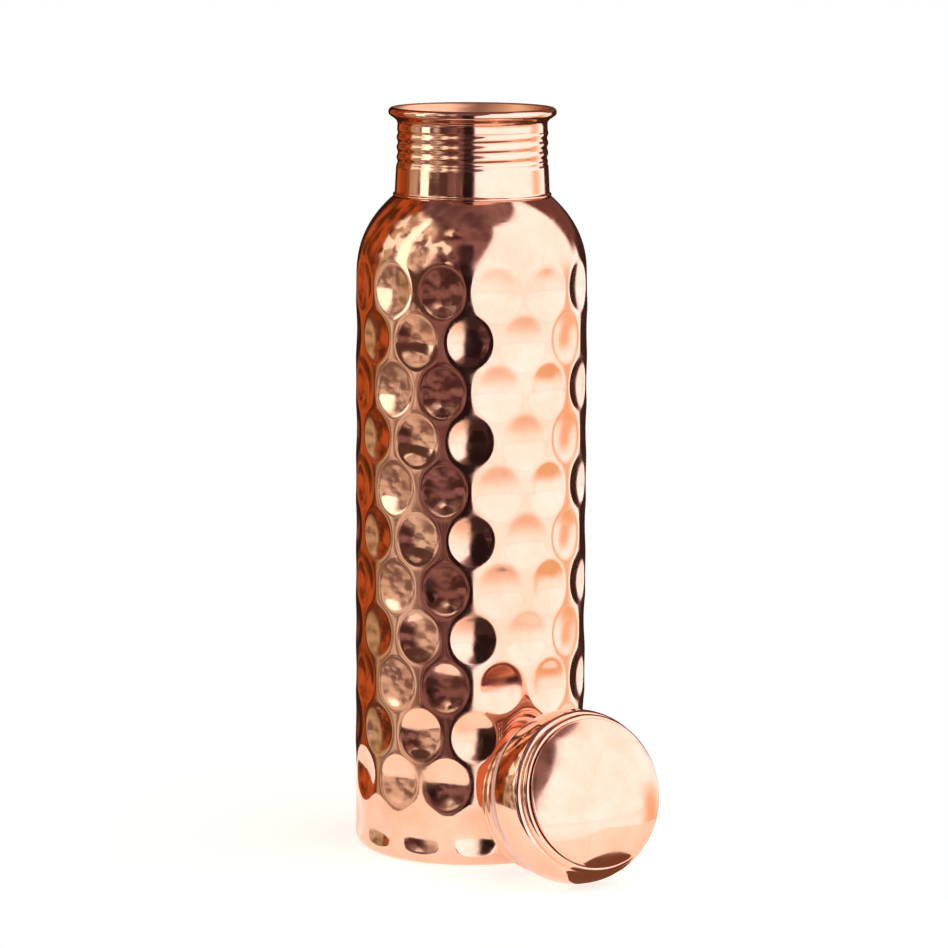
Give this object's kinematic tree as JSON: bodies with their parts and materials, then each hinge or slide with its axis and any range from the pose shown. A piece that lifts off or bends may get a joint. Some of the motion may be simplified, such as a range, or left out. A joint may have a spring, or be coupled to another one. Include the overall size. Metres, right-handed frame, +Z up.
{
  "type": "copper water bottle",
  "caption": "Tall copper water bottle with a dimpled body, a threaded neck with a flared lip, and its domed screw cap lying beside it.",
  "frame": {"origin": "centre of the bottle's flat foot, on the surface that the bottle stands on", "axes": "+Z up along the bottle's axis, -Y to the front; the cap lies to the front and right"},
  "size_m": [0.0988, 0.118, 0.2451],
  "materials": {
    "polished_copper": "polished",
    "drawn_copper": "satin",
    "silicone": "matte"
  },
  "bodies": {
    "bottle": {"body_shell": "polished_copper", "neck_collar": "polished_copper", "base_plate": "drawn_copper"},
    "gasket": {"cap_gasket": "silicone"},
    "cap": {"cap_dome": "polished_copper", "cap_band": "polished_copper", "cap_thread_sleeve": "polished_copper", "cap_end_disc": "drawn_copper"}
  },
  "joints": [
    {"name": "cap_advance", "type": "slide", "parent": "bottle", "child": "gasket", "axis": [0.504, -0.8224, 0.2639], "range_m": [0, 0.0064]},
    {"name": "cap_turn", "type": "hinge", "parent": "gasket", "child": "cap", "pos_m": [0.0329, -0.0545, 0.0275], "axis": [0.504, -0.8224, 0.2639], "range_deg": [0, 720]}
  ],
  "couplings": [
    {"joint": "cap_advance", "follows": "cap_turn", "m_per_rad": 0.0005093}
  ]
}
